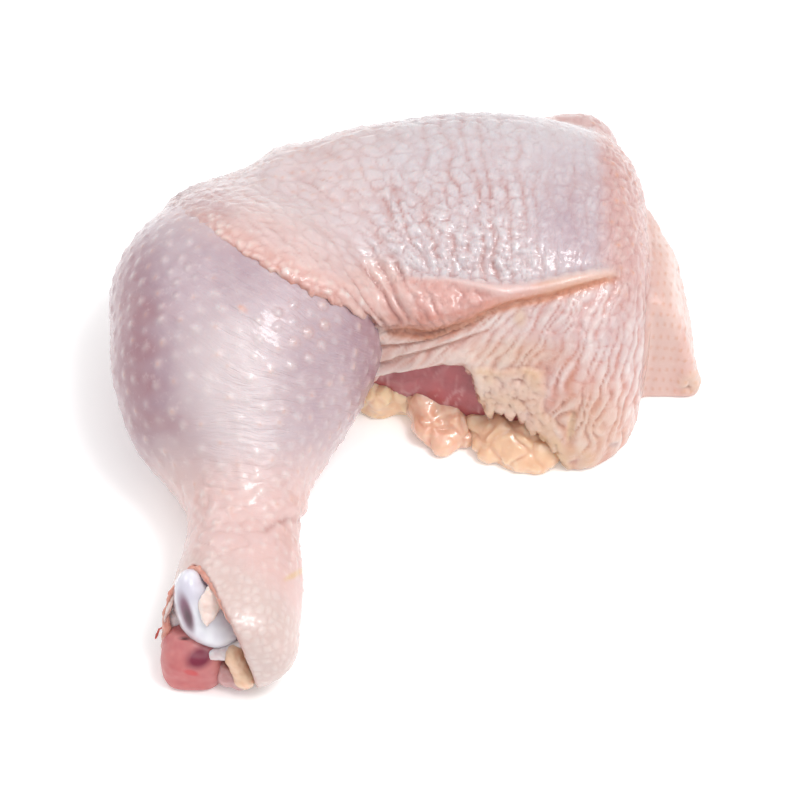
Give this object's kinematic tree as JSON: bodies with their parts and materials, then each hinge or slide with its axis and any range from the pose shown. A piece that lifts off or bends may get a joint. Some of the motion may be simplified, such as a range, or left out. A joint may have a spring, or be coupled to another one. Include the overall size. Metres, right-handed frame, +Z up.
{
  "type": "raw chicken leg quarter",
  "caption": "Raw chicken leg quarter with its skin on, thigh and drumstick in one piece, meat and fat showing at the cut and the joint at the ankle.",
  "frame": {"origin": "bottom centre of the object's bounding box, on the surface it lies on", "axes": "+X from the drumstick towards the thigh's free end, +Y from the ankle towards the knee, +Z up"},
  "size_m": [0.1332, 0.1516, 0.0539],
  "materials": {
    "skin": "raw skin, moist, pale pink with a mauve tint",
    "meat": "wet raw dark meat",
    "fat": "wet pale yellow fat",
    "joint": "wet bluish white joint gristle",
    "gristle": "wet red stained gristle",
    "tendon": "moist white tendon",
    "ankle_fat": "moist tan fat"
  },
  "bodies": {
    "root": {"skin_covered_leg": "skin", "thigh_meat": "meat", "fat_left": "fat", "fat_middle": "fat", "fat_right": "fat", "shank_bone": "joint", "hock_cap": "gristle", "tendon_stub": "tendon", "ankle_fat": "ankle_fat"}
  },
  "joints": []
}
